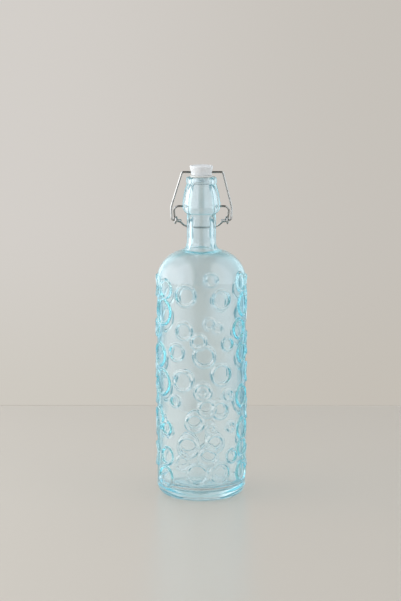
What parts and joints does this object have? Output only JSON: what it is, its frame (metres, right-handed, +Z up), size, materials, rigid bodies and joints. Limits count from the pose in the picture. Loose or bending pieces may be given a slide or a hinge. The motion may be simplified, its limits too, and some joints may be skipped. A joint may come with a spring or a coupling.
{
  "type": "swing-top glass bottle",
  "caption": "Tall round pale aqua glass bottle with embossed rings, a thick bulged neck and a wire swing-top closure that levers a white stopper off its mouth.",
  "frame": {"origin": "centre of the base, on the plane that the bottle stands on", "axes": "+Z up along the bottle's axis, +X along the closure's axes, +Y from the axis towards the lever's handle behind the neck"},
  "size_m": [0.0862, 0.0862, 0.3142],
  "materials": {
    "aqua_glass": "clear, smooth and glossy, with a blue-green tint",
    "white_plastic": "moulded, semi-gloss white",
    "pale_rubber": "smooth pale grey-white seal",
    "bail_steel": "drawn and plated steel wire",
    "lever_steel": "drawn and plated steel wire"
  },
  "bodies": {
    "bottle": {"bottle_glass": "aqua_glass"},
    "lever": {"lever_wire": "lever_steel"},
    "bail": {"bail_wire": "bail_steel"},
    "closure": {"stopper": "white_plastic", "gasket": "pale_rubber"}
  },
  "joints": [
    {"name": "lever_hinge", "type": "hinge", "parent": "bottle", "child": "lever", "pos_m": [0, 0, 0.27586], "axis": [1, 0, 0], "range_deg": [0, 100]},
    {"name": "bail_hinge", "type": "hinge", "parent": "lever", "child": "bail", "pos_m": [0, -0.0011, 0.26276], "axis": [1, 0, 0], "range_deg": [-74, 0]},
    {"name": "stopper_hinge", "type": "hinge", "parent": "bail", "child": "closure", "pos_m": [0, 0, 0.308], "axis": [1, 0, 0], "range_deg": [-27.5, 0]}
  ],
  "couplings": [
    {"joint": "bail_hinge", "follows": "lever_hinge", "ratio": -0.73},
    {"joint": "stopper_hinge", "follows": "lever_hinge", "ratio": -0.27}
  ]
}
